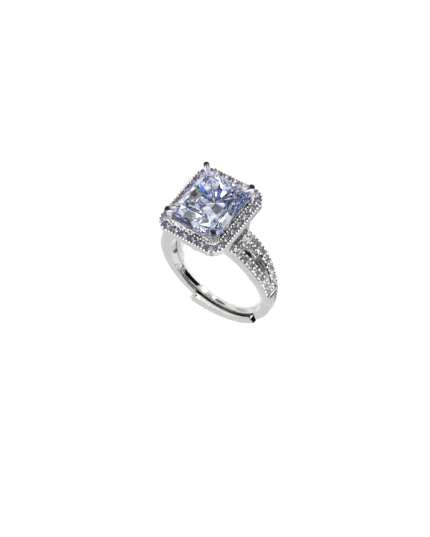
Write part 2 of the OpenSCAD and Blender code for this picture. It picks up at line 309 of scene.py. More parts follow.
height = toward_dot((0, 0, 1))
band = times(soft_step(height, 0.0, 0.05), soft_step(height, 0.30, 0.44, 1.0, 0.0),
             soft_step(toward_dot((0.75, 0.66, 0)), -0.2, 0.4))
outside_band = soft_step(band, 0.0, 1.0, 1.0, BAND_STRENGTH)
marks = [card(*values) for _, *values in CARDS] + [ribbon(*values) for _, *values in RIBBONS]


def background(colour, strength):
    plain = add(room, "ShaderNodeBackground")
    set_sockets(plain, Color=(*colour, 1), Strength=strength)
    return plain.outputs[0]


path = add(room, "ShaderNodeLightPath")
surface = background((0.98, 0.985, 1.0), times(outside_band, *marks, ROOM_STRENGTH))
for ray, strength in (("Is Diffuse Ray", HAZE_STRENGTH), ("Is Camera Ray", 1.0)):
    choice = add(room, "ShaderNodeMixShader")
    for target, value in zip(choice.inputs, (path.outputs[ray], surface, background((1, 1, 1), strength))):
        feed(target, value)
    surface = choice.outputs[0]
out = add(room, "ShaderNodeOutputWorld")
set_sockets(out, Surface=surface)
print("room with a dark band and", len(marks), "marks")

# %% Lamps
def soft_lamp(name, place, size, power):
    """A round lamp at place, in metres, that faces the ring. No mirror shows it."""
    data = bpy.data.lights.new(name, "AREA")
    data.shape, data.size, data.energy = "DISK", size, power
    lamp = in_scene(name, data)
    back = np.array(place, float) / np.linalg.norm(place)
    side = np.cross([0, 0, 1.0], back)
    side /= np.linalg.norm(side)
    stand_at(lamp, side, np.cross(back, side), back, place)
    lamp.visible_glossy = lamp.visible_transmission = False


soft_lamp("key_lamp", (0.258, 0.368, 0.219), 0.14, 3.0)
soft_lamp("wide_lamp", (0.18, 0.26, 0.42), 0.36, 2.7)
print("two soft lamps")

# %% [markdown]
# ## Meshes from arrays
#
# Every piece is an array of points and a list of faces. Most pieces are tubes: rings of points, one
# after the other, with a flat face at each end. Where a colour belongs to a place on a piece, it is
# kept in the mesh, and the material reads it there.

# %% Mesh helpers
def mesh_object(name, points, faces, material, smooth=False):
    """A mesh from points in metres and a list of faces, with its object at the origin."""
    mesh = bpy.data.meshes.new(name)
    mesh.from_pydata(np.asarray(points, float).reshape(-1, 3).tolist(), [], faces)
    mesh.polygons.foreach_set("use_smooth", np.full(len(mesh.polygons), smooth))
    mesh.update()
    mesh.materials.append(material)
    return in_scene(name, mesh)


def keep_colours(piece, name, domain, rgb):
    """Keeps a colour for each corner or point under a name, which a material can read."""
    colours = piece.data.color_attributes.new(name, "FLOAT_COLOR", domain)
    colours.data.foreach_set("color", np.column_stack([rgb, np.ones(len(rgb))]).ravel())


def round_steps(count):
    """Angles in equal steps, once round."""
    return np.linspace(0, 2 * np.pi, count, endpoint=False)


def closed_faces(rings, sides, copies):
    """Quads between rings that close on themselves, and one flat face at each end, for many copies."""
    grid = np.arange(rings * sides).reshape(rings, sides)
    low, high = grid[:-1], grid[1:]
    quads = np.stack([low, np.roll(low, -1, 1), np.roll(high, -1, 1), high], -1).reshape(-1, 4)
    one = quads.tolist() + [grid[0][::-1].tolist(), grid[-1].tolist()]
    return [[v + i * rings * sides for v in f] for i in range(copies) for f in one]


def through_bmesh(mesh, step):
    """Runs one bmesh step on a mesh."""
    work = bmesh.new()
    work.from_mesh(mesh)
    step(work)
    work.to_mesh(mesh)
    work.free()


def outward_faces(mesh):
    """Turns the faces of closed shells outward."""
    through_bmesh(mesh, lambda work: bmesh.ops.recalc_face_normals(work, faces=work.faces))


# %% [markdown]
# ## The table
#
# The ring was pictured on a glossy white sheet. One wide disc is enough, made of rings of points
# that lie closer near the middle, with a little gloss so the metal leaves a faint reflection. Its
# material comes from a function that the metal's finishes use as well: constant settings, a colour
# that a noise mottles, and where it is wanted a fine relief from the same noise.

# %% Table
def mottled_finish(name, scale, detail, first, second, window=(0.0, 1.0), relief=0.0, **sockets):
    """A finish whose colour goes from first to second while its noise goes through window."""
    material, tree, shader = new_material(name)
    mottle = noise(tree, object_place(tree), scale, detail)
    share = mottle if window == (0.0, 1.0) else map_range(tree, mottle, *window)
    set_sockets(shader, Base_Color=mix_colour(tree, share, (*first, 1), (*second, 1)), **sockets)
    if relief:
        set_sockets(shader, Normal=bump(tree, mottle, relief, 0.00001))
    print("finish:", name)
    return material


sheet = mottled_finish("white_sheet", 90.0, 2.0, (0.90, 0.90, 0.905), (0.93, 0.93, 0.93),
                       Roughness=0.35, Specular_IOR_Level=0.35)
TABLE_SIDES, TABLE_REACHES = 64, np.array([0.02, 0.1, 0.5, 4.0])[:, None]
turns = round_steps(TABLE_SIDES)
rings = np.arange(TABLE_REACHES.size * TABLE_SIDES).reshape(-1, TABLE_SIDES)
disc = np.stack([TABLE_REACHES * np.cos(turns), TABLE_REACHES * np.sin(turns), np.zeros(rings.shape)], -1)
quads = np.stack([rings[:-1], rings[1:], np.roll(rings[1:], -1, 1), np.roll(rings[:-1], -1, 1)], -1)
table = mesh_object("table_sheet", disc, quads.reshape(-1, 4).tolist() + [rings[0].tolist()], sheet)
table.visible_glossy = table.visible_transmission = False
print("table", len(table.data.polygons), "faces")

# %% [markdown]
# ## Polished white metal
#
# Rhodium-plated silver is a warm, very pale grey mirror. A perfect mirror looks false, so the
# polish gets what a wheel leaves behind: faint long scratches, a slow swell and a slow change in
# roughness. Edges are a little rounded, and corners that light can't reach get painted shade in
# their colour.

# %% Polished metal
metal, tree, shader = new_material("rhodium_polish")
place = object_place(tree)
stretch = add(tree, "ShaderNodeMapping")
set_sockets(stretch, Vector=place, Scale=(1, 6, 1))
scratches = noise(tree, stretch.outputs["Vector"], 2600.0, 4.0, Roughness=0.6)
slow = noise(tree, place, 320.0, 2.0)
swell = noise(tree, place, 260.0, 1.0)
tone = mix_colour(tree, slow, (0.74, 0.725, 0.70, 1), (0.82, 0.81, 0.79, 1))
# Painted shade: ambient occlusion darkens the base colour in crevices and corners.
crevice_shade = add(tree, "ShaderNodeAmbientOcclusion", samples=8)
set_sockets(crevice_shade, Distance=0.0003)
shade = map_range(tree, crevice_shade.outputs["AO"], 0.1, 0.6, 0.35, 1.0)
rounded = add(tree, "ShaderNodeBevel", samples=6)
set_sockets(rounded, Radius=0.00005)
wave = bump(tree, swell, 0.35, 0.00006, Normal=rounded.outputs["Normal"])
set_sockets(
    shader, Metallic=1.0, IOR=2.2,
    Roughness=map_range(tree, slow, 0.3, 0.7, 0.05, 0.13),
    Base_Color=mix_colour(tree, 1.0, tone, shade, "MULTIPLY"),
    Normal=bump(tree, scratches, 0.05, 0.00001, Normal=wave),
)
print("metal:", metal.name)

# %% [markdown]
# ## Other finishes
#
# The wheel can't reach everywhere, so the metal has more than one finish:
#
# - The recess in a small stone's seat is rough and pitted, and its dark colour is painted shade,
#   which makes each stone stand out.
# - The shoulders' outer side is polished by hand between the stones and comes out satin.
# - The gaps between the strands and the tongue's near side are nearly black with painted shade, and
#   the gallery's end walls are darkened with painted shade.
# - The sleeve's lip is brushed, and the grains are bright from every side.
# - The wall under the main stone has painted glints and painted dark reflections in its colour.
#   Its noise goes through a narrow window, so the change from dark to bright is sudden.

# %% Finishes
# Painted shade: the seats' dark colour stands for shade; the roughness and pits are real.
shaded_recess = mottled_finish("unpolished_shaded_recess", 4200.0, 3.0, (0.20, 0.19, 0.19), (0.62, 0.61, 0.60),
                        relief=0.3, Metallic=1.0, Roughness=0.42)
satin = mottled_finish("satin_shoulder", 1700.0, 2.0, (0.22, 0.215, 0.21), (0.92, 0.91, 0.89),
                       relief=0.15, Metallic=0.92, Roughness=0.28)
# Painted shade: nearly black colour in the gaps between strands and on the tongue's near side.
gap = mottled_finish("shaded_gap", 2400.0, 2.0, (0.015, 0.014, 0.013), (0.17, 0.165, 0.16),
                     Metallic=1.0, Roughness=0.3)
# Painted shade: a darker colour on the gallery's end walls.
shaded = mottled_finish("shaded_polish", 4200.0, 3.0, (0.30, 0.295, 0.29), (0.44, 0.43, 0.42),
                        Metallic=1.0, Roughness=0.16)
brushed = mottled_finish("brushed_lip", 1200.0, 3.0, (0.72, 0.71, 0.69), (0.92, 0.91, 0.89),
                         Metallic=0.7, Roughness=0.45)
grain_metal = mottled_finish("grain_polish", 1800.0, 1.0, (0.80, 0.79, 0.78), (1.0, 0.99, 0.98),
                             Metallic=0.6, Roughness=0.2)
# Painted reflection: bright glints and dark streaks in the base colour of the wall under the main stone.
painted_glints = mottled_finish("painted_glint_wall", 2300.0, 1.0, (0.05, 0.04, 0.05), (1.0, 0.99, 0.98),
                          window=(0.44, 0.56), Metallic=0.9, Roughness=0.25)

# %% [markdown]
# ## Cutting a stone
#
# A cutter grinds one flat after another on a rough stone. The same idea makes the mesh: each facet
# is a plane, and the stone is what lies behind all of them. Its corners are the points where three
# planes meet and that no other plane cuts away, which numpy finds for every trio at once.

# %% Cutting
# Less than this is parallel, still inside, the same corner, and on the plane.
PARALLEL, INSIDE, SAME_CORNER, ON_PLANE = 1e-7, 1e-6, 1e-3, 2e-4


def facets(azimuths, slope, through):
    """Planes (n, d) that lean slope degrees from level and pass through a point (distance out, height).
    Below the girdle the slope is negative. n = (sin s cos a, sin s sin a, cos s), d = n . point."""
    a = np.radians(np.atleast_1d(azimuths).astype(float))
    s = math.radians(abs(slope))
    rise = np.full(len(a), math.copysign(math.cos(s), slope))
    n = np.stack([math.sin(s) * np.cos(a), math.sin(s) * np.sin(a), rise], 1)
    out, height = through
    return np.column_stack([n, math.sin(s) * out + n[:, 2] * height])


def cut_stone(planes):
    """Corners, faces and the plane of each face, for the solid where n . x <= d for every plane.
    Three planes meet at (d1 n2 x n3 + d2 n3 x n1 + d3 n1 x n2) / (n1 . n2 x n3)."""
    n, d = planes[:, :3], planes[:, 3]
    count = np.arange(len(n))
    i, j, k = np.meshgrid(count, count, count, indexing="ij")
    keep = (i < j) & (j < k)
    i, j, k = i[keep], j[keep], k[keep]
    jk, ki, ij = np.cross(n[j], n[k]), np.cross(n[k], n[i]), np.cross(n[i], n[j])
    volume = np.einsum("ab,ab->a", n[i], jk)
    good = np.abs(volume) > PARALLEL
    met = (d[i, None] * jk + d[j, None] * ki + d[k, None] * ij)[good] / volume[good, None]
    met = met[np.all(met @ n.T <= d + INSIDE, axis=1)]
    _, first = np.unique(met.round(4), axis=0, return_index=True)
    met = met[first]
    near = np.linalg.norm(met[:, None] - met[None], axis=2) < SAME_CORNER
    met = met[np.unique(near.argmax(1))]
    faces, plane_of = [], []
    for f in range(len(n)):
        on = np.flatnonzero(np.abs(met @ n[f] - d[f]) < ON_PLANE)
        if len(on) < 3:
            continue
        middle = met[on].mean(0)
        across = met[on[0]] - middle
        across /= np.linalg.norm(across)
        along = np.cross(n[f], across)
        turn = np.arctan2((met[on] - middle) @ along, (met[on] - middle) @ across)
        faces.append(on[np.argsort(turn)].tolist())
        plane_of.append(f)
    return met, faces, np.array(plane_of)


# %% [markdown]
# ## Crystal materials
#
# A cut stone is bright because its lower facets throw the light back. Tracing that in pure glass
# would need dozens of bounces, and half of the light would still be lost below. Cutters of simple
# crystal solve it with a mirror coat on the pavilion, and so does this material: the crown is clear
# with a high refractive index, and each lower facet is a mirror with a tint of its own, kept in a
# colour attribute. Each tint is partly the stone's colour and partly a painted reflection. The tints
# multiply as the light goes from facet to facet.

# %% Crystal materials
def crystal_crown(name, tint, index):
    """Clear crystal with faint wisps."""
    material, tree, shader = new_material(name)
    wisps = noise(tree, object_place(tree), 900.0, 2.0)
    darker, lighter = [v * 0.97 for v in tint], [min(1, v * 1.02) for v in tint]
    set_sockets(shader, Transmission_Weight=1.0, IOR=index, Roughness=0.0,
                Base_Color=mix_colour(tree, wisps, (*darker, 1), (*lighter, 1)))
    return material


def crystal_back(name, index):
    """A facet that is mostly a mirror, in its own tint: the stone's colour with a painted reflection."""
    material, tree, shader = new_material(name)
    # Painted reflection: the facets' tints carry painted light and dark reflections.
    tint = add(tree, "ShaderNodeVertexColor", layer_name="facet_tint_and_reflection")
    set_sockets(shader, Metallic=0.9, Transmission_Weight=1.0, IOR=index, Roughness=0.02,
                Base_Color=tint.outputs["Color"])
    return material


MAIN_INDEX, SMALL_INDEX = 2.05, 2.1
main_crown = crystal_crown("main_crystal_crown", (0.93, 0.95, 1.0), MAIN_INDEX)
main_back = crystal_back("main_crystal_back", MAIN_INDEX)
small_crown = crystal_crown("small_crystal_crown", (0.97, 0.97, 1.0), SMALL_INDEX)
small_back = crystal_back("small_crystal_back", SMALL_INDEX)


def crystal_object(name, points, faces, tints, is_back, crown, back):
    """A stone's mesh in two materials, with one tint and painted reflection for each face in a colour
    attribute.
    """
    piece = mesh_object(name, points, faces, crown)
    piece.data.materials.append(back)
    piece.data.polygons.foreach_set("material_index", np.asarray(is_back, np.int32))
    keep_colours(piece, "facet_tint_and_reflection", "CORNER", np.repeat(tints, [len(f) for f in faces], axis=0))
    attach(piece, "root")
    return piece


# %% [markdown]
# ## The main stone
#
# It is a radiant cut: a rectangle with cropped corners, a stepped crown, and a pavilion of slender
# facets that turn the light into slivers. The planes start as the solid's own tiers. Below, fans of
# narrow facets then spread from the two ends of the keel, the line where the stone is deepest.

# %% Main stone's form
STONE_X, STONE_Y, STONE_CROP = 4.15, 4.925, 0.85
GIRDLE_Z, GIRDLE_T, CROWN_H, PAVILION_H = 16.55, 0.12, 1.45, 4.3
TABLE_SHARE, STEP_SHARE, STEP_RISE = 0.64, 0.86, 0.55
MID_SHARE, MID_DEPTH, KEEL_Y = 0.62, 0.52, 1.1
RIGHT_LEFT, FAR_NEAR, CORNERS = [0, 180], [90, 270], [-45, 45, 135, 225]

MID_X, MID_Y = STONE_X * MID_SHARE, STONE_Y * MID_SHARE
table_z, stone_low = GIRDLE_Z + CROWN_H, GIRDLE_Z - GIRDLE_T
mid_z, keel_z = stone_low - PAVILION_H * MID_DEPTH, stone_low - PAVILION_H


def outline_points(share, z):
    """The cropped rectangle at a share of its full size, at height z."""
    x, y, c = STONE_X * share, STONE_Y * share, STONE_CROP * share
    flat = [(x, c - y), (x, y - c), (x - c, y), (c - x, y),
            (-x, y - c), (-x, c - y), (c - x, -y), (x - c, -y)]
    return np.column_stack([flat, np.full(8, z)])


form = np.vstack([
    outline_points(TABLE_SHARE, table_z),
    outline_points(STEP_SHARE, GIRDLE_Z + CROWN_H * STEP_RISE),
    outline_points(1, GIRDLE_Z),
    outline_points(1, stone_low),
    outline_points(MID_SHARE, mid_z),
    [[0, -KEEL_Y, keel_z], [0, KEEL_Y, keel_z]],
])
print("main stone's form:", len(form), "points, table at", table_z, "keel at", round(keel_z, 3))

# %% Planes for the main stone
def touching(azimuths, slope):
    """Planes that lean slope degrees from level and touch the solid's form: d = max(n . corner)."""
    n = facets(azimuths, slope, (0, 0))[:, :3]
    return np.column_stack([n, (form @ n.T).max(0)])


def fan(azimuths, ring_xy, apex_xy):
    """Lower facets that spread from a point of the keel: each holds the apex and a point of the middle ring.
    With u the azimuth's direction, tan(slope) = rise / (u . (ring - apex))."""
    a = np.radians(np.asarray(azimuths, float))
    u = np.stack([np.cos(a), np.sin(a)], 1)
    slope = np.arctan2(mid_z - keel_z, np.einsum("ij,ij->i", u, np.asarray(ring_xy, float) - apex_xy))
    n = np.column_stack([u * np.sin(slope)[:, None], -np.cos(slope)])
    return np.column_stack([n, n @ [*apex_xy, keel_z]])


def mirrored(some):
    """The planes with their X, their Y and both turned over."""
    flips = np.array([(1, 1, 1, 1), (-1, 1, 1, 1), (1, -1, 1, 1), (-1, -1, 1, 1)])
    return np.unique((some[None] * flips[:, None]).reshape(-1, 4).round(9), axis=0)


# %% Cutting the main stone
crown_planes = np.vstack([
    facets([0], 0, (0, table_z)),
    touching(RIGHT_LEFT, 54.0),
    touching(FAR_NEAR, 49.2),
    touching(RIGHT_LEFT, 35.5),
    touching(FAR_NEAR, 31.1),
    touching(CORNERS, 51.0),
    touching(CORNERS, 33.0),
])
girdle_planes = np.vstack([
    facets(RIGHT_LEFT, 90, (STONE_X, 0)),
    facets(FAR_NEAR, 90, (STONE_Y, 0)),
    facets(CORNERS, 90, ((STONE_X + STONE_Y - STONE_CROP) / math.sqrt(2), 0)),
])
side_fan = fan([2.5, 8, 15, 23, 33], [
    (MID_X, 0), (MID_X - 0.01, 0.4), (MID_X - 0.08, 0.95), (MID_X - 0.24, 1.5), (MID_X - 0.56, 2.1),
], (0, KEEL_Y))
end_fan = fan([87.5, 82, 74, 65, 55, 46], [
    (0, MID_Y), (0.3, MID_Y), (0.75, MID_Y - 0.06), (1.2, MID_Y - 0.2), (1.65, MID_Y - 0.43),
    (1.95, MID_Y - 0.7),
], (0, KEEL_Y))
back_planes = np.vstack([
    touching(RIGHT_LEFT, -54.8),
    touching(FAR_NEAR, -50.1),
    touching(CORNERS, -50.0),
    mirrored(side_fan),
    mirrored(end_fan),
])
planes = np.vstack([crown_planes, girdle_planes, back_planes])
corners, faces, plane_of = cut_stone(planes)
print("main stone:", len(corners), "corners,", len(faces), "facets of", len(planes), "planes")

# %% [markdown]
# ## Tints of the main stone
#
# Large facets are pale, and the narrow slivers between them carry the colour: a few vivid blue or
# navy strokes, which the double reflection spreads over the stone. The grey and navy strokes are
# painted dark reflections, and each side of the stone gets its own painted light, from white on the
# left to grey-blue on the right.

# %% Main stone's tints
PALE = np.array([
    (1.0, 1.0, 1.0), (0.97, 0.96, 0.94), (0.90, 0.92, 1.0), (0.84, 0.88, 1.0), (0.88, 0.86, 0.84),
])
# Painted light: each side of the stone draws its pale tints in its own shares, whitest on the left.
PALE_SHARES = {
    0: [0.22, 0.12, 0.32, 0.28, 0.06],
    90: [0.30, 0.16, 0.22, 0.14, 0.18],
    180: [0.50, 0.20, 0.20, 0.08, 0.02],
    270: [0.28, 0.10, 0.34, 0.22, 0.06],
}
# Painted reflection: the grey and navy strokes stand for dark reflections in the slivers.
STROKES = np.array([
    (1.0, 1.0, 1.0), (0.86, 0.89, 1.0), (0.62, 0.63, 0.68), (0.50, 0.62, 1.0), (0.06, 0.30, 1.0),
    (0.07, 0.10, 0.24),
])
STROKE_SHARES = [0.34, 0.26, 0.12, 0.10, 0.08, 0.10]
NARROW_SHARE = 0.55


def face_area(points, face):
    """Area of a flat polygon: half the length of the sum of cross products around it."""
    ring = points[face]
    return 0.5 * np.linalg.norm(np.cross(ring, np.roll(ring, -1, axis=0)).sum(0))


is_back = plane_of >= len(crown_planes) + len(girdle_planes)
areas = np.array([face_area(corners, f) for f in faces])
narrow = is_back & (areas < np.quantile(areas[is_back], NARROW_SHARE))
heading = np.degrees(np.arctan2(planes[plane_of, 1], planes[plane_of, 0])) % 360
side_of = (np.round(heading / 90) * 90 % 360).astype(int)
dice = np.random.default_rng(10)
facet_tints_and_reflections = STROKES[dice.choice(len(STROKES), len(faces), p=STROKE_SHARES)]
for side, shares in PALE_SHARES.items():
    wide = np.flatnonzero((side_of == side) & ~narrow)
    facet_tints_and_reflections[wide] = PALE[dice.choice(len(PALE), len(wide), p=shares)]
main_stone = crystal_object("main_crystal", laid(corners), faces, facet_tints_and_reflections, is_back, main_crown, main_back)
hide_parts("centre_stone")
print("main crystal:", int(is_back.sum()), "tinted back facets")

# %% [markdown]
# ## The small stones
#
# A stone this small has a full crown, with a table, 8 kites, 8 stars and 16 upper facets, over a
# simple back of 8 large facets, which gives it a few broad flashes instead of glitter too fine to
# see. One stone of size 1 is cut once, and the others are copies of its corners, turned a little so
# that they don't all flash together.

# %% One brilliant
EIGHT, SIXTEEN = np.arange(8) * 45.0, np.arange(16) * 22.5 + 11.25
SMALL_R, TABLE_R, TABLE_Z, GIRDLE_LOW, CULET_Z = 0.5, 0.29, 0.17, -0.03, -0.40
STAR_EASE, STAR_OUT, UPPER_LEAN = 14, 0.012, 5

to_eight, to_sixteen = cosine(22.5), cosine(11.25)
kite_slope = math.degrees(math.atan(TABLE_Z / (SMALL_R - TABLE_R)))
main_slope = math.degrees(math.atan((GIRDLE_LOW - CULET_Z) / SMALL_R))
brilliant = np.vstack([
    facets([0], 0, (0, TABLE_Z)),
    facets(EIGHT, kite_slope, (SMALL_R, 0)),
    facets(EIGHT + 22.5, kite_slope - STAR_EASE, (TABLE_R * to_eight + STAR_OUT, TABLE_Z)),
    facets(SIXTEEN, kite_slope + UPPER_LEAN, (SMALL_R * to_sixteen, 0)),
    facets(SIXTEEN, 90, (SMALL_R * to_sixteen, 0)),
    facets(EIGHT, -main_slope, (SMALL_R * to_eight, GIRDLE_LOW)),
])
small_corners, small_faces, small_plane_of = cut_stone(brilliant)
small_is_back = small_plane_of >= len(brilliant) - len(EIGHT)
print("small stone:", len(small_corners), "corners,", len(small_faces), "facets")

# %% [markdown]
# ## Where the small stones sit
#
# The halo's stones follow a line inside its edge that turns with its corners. The shoulders' stones
# follow the shank's outer surface in a near strand, a far strand that flares toward the head, and a
# short middle row. The same sums placed the seats in the metal.

# %% Places in the halo
HALO_STONE_D, LINE_IN, CORNER_HALF_GAP = 1.24, 0.74, 0.72
FAR_ROW_Y, RIGHT_ROW_X = 5.2, 4.0
LINE_X, LINE_Y, LINE_R = HALO_X - LINE_IN, HALO_Y - LINE_IN, HALO_CORNER - LINE_IN
# Stones on a side, half its length, its distance from the middle, and whether it runs along Y.
HALO_SIDES = [(7, LINE_Y, LINE_X, True), (6, LINE_X, LINE_Y, False)]


def halo_side(half_len, half_off, a):
    """Points and outward directions at distances a along one side, measured from its middle.
    Past the straight run the line turns on a circle of radius LINE_R."""
    run = half_len - LINE_R
    turn = np.clip(np.abs(a) - run, 0, None) / LINE_R
    sign = np.sign(a)
    place = np.stack([sign * (np.minimum(np.abs(a), run) + LINE_R * np.sin(turn)),
                      half_off - LINE_R * (1 - np.cos(turn))], -1)
    return place, np.stack([sign * np.sin(turn), np.cos(turn)], -1)


def around_halo(shares, count, half_len, half_off, swap):
    """The spots of one pair of opposite sides, as points and outward directions in X and Y.
    Each stone gives one spot for every share of the step from it to the next."""
    reach = half_len - LINE_R + LINE_R * math.pi / 4 - CORNER_HALF_GAP
    a = (2 * (np.arange(count)[:, None] + shares) / (count - 1) - 1) * reach
    place, outward = halo_side(half_len, half_off, a.ravel())
    if swap:
        place, outward = place[:, ::-1], outward[:, ::-1]
    flip = np.array([[-1, 1]]) if swap else np.array([[1, -1]])
    return np.vstack([place, place * flip]), np.vstack([outward, outward * flip])


halo_spots = np.vstack([around_halo(np.zeros(1), *side)[0] for side in HALO_SIDES])
print("halo stones:", len(halo_spots))

# %% Places on the shoulders
FAR_EDGE, FAR_SLOPE, FAR_FLARE = 1.35, 0.6 / 6, 2.25 / 9.5
NEAR_EDGE, NEAR_LOW, STEP_LOW_Z, STEP_HEIGHT = 1.2, {-1: 0.95, 1: 0.58}, -1.0, 5.5
STRAND_COUNT, MIDDLE_COUNT, FIRST_ANGLE, LAST_ANGLE, MIDDLE_STEP = 7, 3, 24.5, 73.5, 7.2
STRAND_D, MIDDLE_D, FAR_INSET = 1.1, 0.88, 0.68
NEAR_ROW_Y, NEAR_ROW_STEP, MIDDLE_ROW_Y, MIDDLE_ROW_STEP = -0.52, 0.03, 1.58, -0.13


def surface_r(angle):
    """Distance of the shank's outer surface from the finger hole's centre, at an angle from the top."""
    return SHANK_RISE * np.cos(angle) + np.sqrt(SHANK_R ** 2 - (SHANK_RISE * np.sin(angle)) ** 2)


def far_edge_y(z):
    """The far edge of the shank at a height: it flares toward the head."""
    return FAR_EDGE + np.where(z < 0, FAR_SLOPE, FAR_FLARE) * z


def near_edge_y(z, side):
    """The near edge at a height: it steps in below the shoulder, and more on the right."""
    low = NEAR_LOW[side]
    return -(low + (NEAR_EDGE - low) * np.clip((z - STEP_LOW_Z) / STEP_HEIGHT, 0, 1))


strand, middle = np.arange(STRAND_COUNT), np.arange(MIDDLE_COUNT)
strand_angles = np.radians(np.linspace(FIRST_ANGLE, LAST_ANGLE, STRAND_COUNT))
middle_angles = np.radians(FIRST_ANGLE + MIDDLE_STEP * middle)
near_y = NEAR_ROW_Y + NEAR_ROW_STEP * strand
far_y = far_edge_y(surface_r(strand_angles) * np.cos(strand_angles)) - FAR_INSET
middle_y = MIDDLE_ROW_Y + MIDDLE_ROW_STEP * middle
shoulder_angles = np.concatenate([strand_angles, strand_angles, middle_angles])
shoulder_y = np.concatenate([near_y, far_y, middle_y])
shoulder_d = np.concatenate([np.full(2 * STRAND_COUNT, STRAND_D), np.full(MIDDLE_COUNT, MIDDLE_D)])


def shoulder_frames(side, angles):
    """Columns of each frame: across the strand, along Y, and out of the surface, at an angle from the top."""
    c, s, o, l = np.cos(angles), side * np.sin(angles), np.zeros(len(angles)), np.ones(len(angles))
    return np.stack([np.stack([c, o, s], -1), np.stack([o, l, o], -1), np.stack([-s, o, c], -1)], 1)


def shoulder_places(frames, angles, y, lift):
    """Points at a lift over the shank's outer surface: out * (surface_r + lift), at their own Y."""
    places = frames[:, :, 2] * (surface_r(angles) + lift)[:, None]
    places[:, 1] = y
    return places


print("stones on each shoulder:", len(shoulder_y))

# %% [markdown]
# ## Setting the small stones
#
# Every facet draws its tint by chance, mostly clear with some mauve and a little dark, and the dark
# tints are painted dark reflections. Rows that would look too dark from the camera's side get painted
# light, which lifts their tints toward white, and the halo's stones keep a touch of mauve that the
# shoulders' stones don't have.

# %% Setting the small stones
# Painted reflection: the darkest tints stand for dark reflections.
SMALL_TINTS = np.array([
    (1.0, 1.0, 1.0), (0.94, 0.92, 1.0), (0.78, 0.75, 0.95), (0.42, 0.39, 0.54), (0.14, 0.12, 0.20),
])
SMALL_SHARES = np.array([0.52, 0.20, 0.12, 0.08, 0.08])
STONE_SINK, LOWER_SHOULDER = 0.03, 0.7


def set_stones(name, node, places, frames, sizes, seed, light, mood):
    """Copies of the brilliant: corner * size, turned by its own spin, then by the seat's frame, then moved.
    A tint goes toward white by its stone's share of painted light, and the mood colours it:
    (1 - (1 - tint) (1 - light)) mood, where light is painted light."""
    dice = np.random.default_rng(seed)
    spin = dice.uniform(0, 2 * np.pi, len(places))
    c, s, o, l = np.cos(spin), np.sin(spin), np.zeros(len(places)), np.ones(len(places))
    spins = np.stack([np.stack([c, -s, o], -1), np.stack([s, c, o], -1), np.stack([o, o, l], -1)], 1)
    turned = np.einsum("nij,njk,pk->npi", frames, spins, small_corners) * sizes[:, None, None]
    points = laid((turned + places[:, None]).reshape(-1, 3))
    many = [[v + i * len(small_corners) for v in f] for i in range(len(places)) for f in small_faces]
    tints = SMALL_TINTS[dice.choice(len(SMALL_TINTS), len(many), p=SMALL_SHARES)]
    tints = (1 - (1 - tints) * (1 - np.repeat(light, len(small_faces)))[:, None]) * mood
    backs = np.tile(small_is_back, len(places))
    piece = crystal_object(name, points, many, tints, backs, small_crown, small_back)
    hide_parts(node)
    print(name, len(places), "stones,", len(piece.data.polygons), "facets")


def level_seats(spots, z):
    """Places at height z over spots in X and Y, with frames that aren't turned."""
    return np.column_stack([spots, np.full(len(spots), z)]), np.tile(np.eye(3), (len(spots), 1, 1))


# %% Stones of the halo
places, frames = level_seats(halo_spots, HALO_TOP - STONE_SINK)
# Painted light: the far row and the right row get their tints lifted toward white.
halo_painted_light = np.select([places[:, 1] > FAR_ROW_Y, places[:, 0] > RIGHT_ROW_X], [0.7, 0.85], 0.0)
set_stones("halo_crystals", "halo_stones", places, frames, np.full(len(places), HALO_STONE_D), 11,
           halo_painted_light, (0.95, 0.925, 1.0))

# %% Stones of the shoulders
# Painted light: the lower shoulder stones get their tints lifted toward white.
shoulder_painted_light = np.where(shoulder_angles > LOWER_SHOULDER, 0.85, 0.15)
for side, name, node in ((-1, "left_shoulder_crystals", "shoulder_stones_left"),
                         (1, "right_shoulder_crystals", "shoulder_stones_right")):
    frames = shoulder_frames(side, shoulder_angles)
    places = shoulder_places(frames, shoulder_angles, shoulder_y, -STONE_SINK)
    set_stones(name, node, places, frames, shoulder_d, 20 + side, shoulder_painted_light, (1.0, 1.0, 0.98))

# %% [markdown]
# ## The metal
#
# The solid's shape is right, but its mesh is loose triangles with hard shading. A copy is merged,
# every edge flatter than 25 degrees is shaded smooth, and the sharp ones stay crisp. Where a
# polygon lies and which way it faces then decides its finish.

# %% A copy of the metal
FINISHES = [metal, shaded_recess, satin, gap, grain_metal, painted_glints, shaded]

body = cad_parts["ring_mount"].data.copy()
body.name = "ring_metal"
through_bmesh(body, lambda work: bmesh.ops.remove_doubles(work, verts=work.verts, dist=1e-7))
body.materials.clear()
for finish in FINISHES:
    body.materials.append(finish)
body.polygons.foreach_set("use_smooth", np.ones(len(body.polygons), bool))
body.set_sharp_from_angle(angle=math.radians(25))
print("ring's metal:", len(body.vertices), "points,", len(body.polygons), "faces")

# %% Parts of the head and of the shank
SEAT_DEPTH, SEAT_MARGIN, SHOULDER_X, SHOULDER_LOW_Z = 0.6, 0.05, 3.7, 2.3
WALL_X, WALL_Y, WALL_RUN_X, WALL_RUN_Y = 4.2, 5.1, 3.3, 4.1
END_WALL_X, END_WALL_LOW_Z, TONGUE_NEAR_Y, TONGUE_TOP_Z = (3.6, 5.0), 9.5, -0.46, -4.0


def rows_of(collection, name):
    """A vector property of every item, as rows."""
    rows = np.empty(len(collection) * 3)
    collection.foreach_get(name, rows)
    return rows.reshape(-1, 3)


